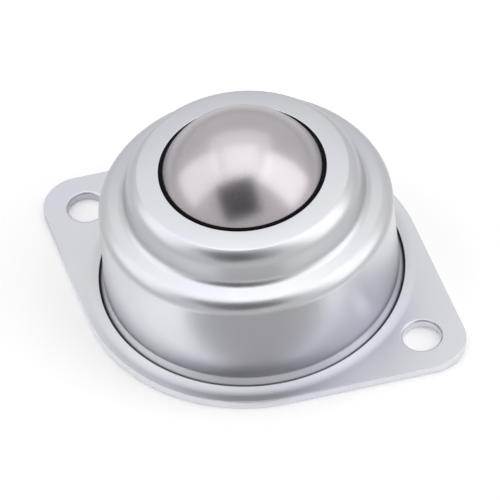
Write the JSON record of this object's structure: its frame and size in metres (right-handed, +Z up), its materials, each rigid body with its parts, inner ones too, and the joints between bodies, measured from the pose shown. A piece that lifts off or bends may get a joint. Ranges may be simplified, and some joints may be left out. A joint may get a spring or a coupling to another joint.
{
  "type": "ball transfer unit",
  "caption": "Steel ball held in a stepped round housing on a two-hole rhombic flange, free to turn any way so that loads glide over it.",
  "frame": {"origin": "on the mounting face, on the vertical axis of the load ball", "axes": "+X along the line of the two mounting holes, +Z up, out of the load ball"},
  "size_m": [0.0688, 0.0498, 0.0308],
  "materials": {
    "zinc_plated_steel": "satin zinc plate",
    "polished_steel": "satin polished",
    "hardened_steel": "ground",
    "bearing_steel": "polished",
    "black_rubber": "matte"
  },
  "bodies": {
    "housing": {"top_housing": "zinc_plated_steel", "mounting_flange": "zinc_plated_steel", "base_cap": "zinc_plated_steel", "support_bowl": "hardened_steel", "dust_seal": "black_rubber"},
    "support_balls": {"support_ball_1_01": "bearing_steel", "support_ball_2_01": "bearing_steel", "support_ball_2_02": "bearing_steel", "support_ball_2_03": "bearing_steel", "support_ball_2_04": "bearing_steel", "support_ball_2_05": "bearing_steel", "support_ball_2_06": "bearing_steel", "support_ball_3_01": "bearing_steel", "support_ball_3_02": "bearing_steel", "support_ball_3_03": "bearing_steel", "support_ball_3_04": "bearing_steel", "support_ball_3_05": "bearing_steel", "support_ball_3_06": "bearing_steel", "support_ball_3_07": "bearing_steel", "support_ball_3_08": "bearing_steel", "support_ball_3_09": "bearing_steel", "support_ball_3_10": "bearing_steel", "support_ball_3_11": "bearing_steel", "support_ball_3_12": "bearing_steel", "support_ball_3_13": "bearing_steel", "support_ball_4_01": "bearing_steel", "support_ball_4_02": "bearing_steel", "support_ball_4_03": "bearing_steel", "support_ball_4_04": "bearing_steel", "support_ball_4_05": "bearing_steel", "support_ball_4_06": "bearing_steel", "support_ball_4_07": "bearing_steel", "support_ball_4_08": "bearing_steel", "support_ball_4_09": "bearing_steel", "support_ball_4_10": "bearing_steel", "support_ball_4_11": "bearing_steel", "support_ball_4_12": "bearing_steel", "support_ball_4_13": "bearing_steel", "support_ball_4_14": "bearing_steel", "support_ball_4_15": "bearing_steel", "support_ball_4_16": "bearing_steel", "support_ball_4_17": "bearing_steel", "support_ball_4_18": "bearing_steel", "support_ball_4_19": "bearing_steel", "support_balls_row_5": "bearing_steel", "support_balls_row_6": "bearing_steel", "support_balls_row_7": "bearing_steel"},
    "side_ball": {"side_support_ball": "bearing_steel"},
    "load_ball": {"load_ball": "polished_steel"}
  },
  "joints": [
    {"name": "ball_bed_orbit", "type": "hinge", "parent": "housing", "child": "support_balls", "pos_m": [0, 0, 0.0181], "axis": [0, 0, 1], "continuous": true},
    {"name": "side_ball_spin", "type": "hinge", "parent": "support_balls", "child": "side_ball", "pos_m": [0, 0, 0.0181], "axis": [1, 0, 0], "continuous": true},
    {"name": "load_ball_roll", "type": "hinge", "parent": "side_ball", "child": "load_ball", "pos_m": [0, 0, 0.0181], "axis": [0, 1, 0], "continuous": true}
  ]
}
